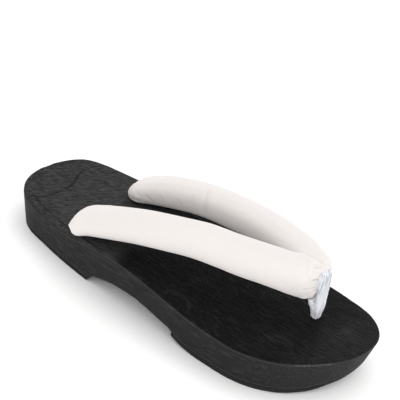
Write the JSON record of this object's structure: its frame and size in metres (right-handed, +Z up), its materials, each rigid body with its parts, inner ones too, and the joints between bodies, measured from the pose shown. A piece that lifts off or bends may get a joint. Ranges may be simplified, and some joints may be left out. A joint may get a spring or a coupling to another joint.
{
  "type": "geta sandal",
  "caption": "Right-foot wooden sandal with a carved base, arch and rolled toe, padded straps joined over the toes and a folded satin thong.",
  "frame": {"origin": "on the floor, under the middle of the sandal's bounding box", "axes": "+Y from heel to toe, +Z up, +X towards the outer side of the right foot"},
  "size_m": [0.0923, 0.245, 0.0634],
  "materials": {
    "stained_wood": "black stained wood with raised grain, dull sheen",
    "tread_rubber": "matt black rubber",
    "strap_cloth": "smooth matt warm white cloth over padding",
    "thong_satin": "cool white satin with lengthwise folds"
  },
  "bodies": {
    "root": {"wooden_base": "stained_wood", "heel_tread": "tread_rubber", "front_tread": "tread_rubber", "padded_straps": "strap_cloth", "toe_thong": "thong_satin"}
  },
  "joints": []
}
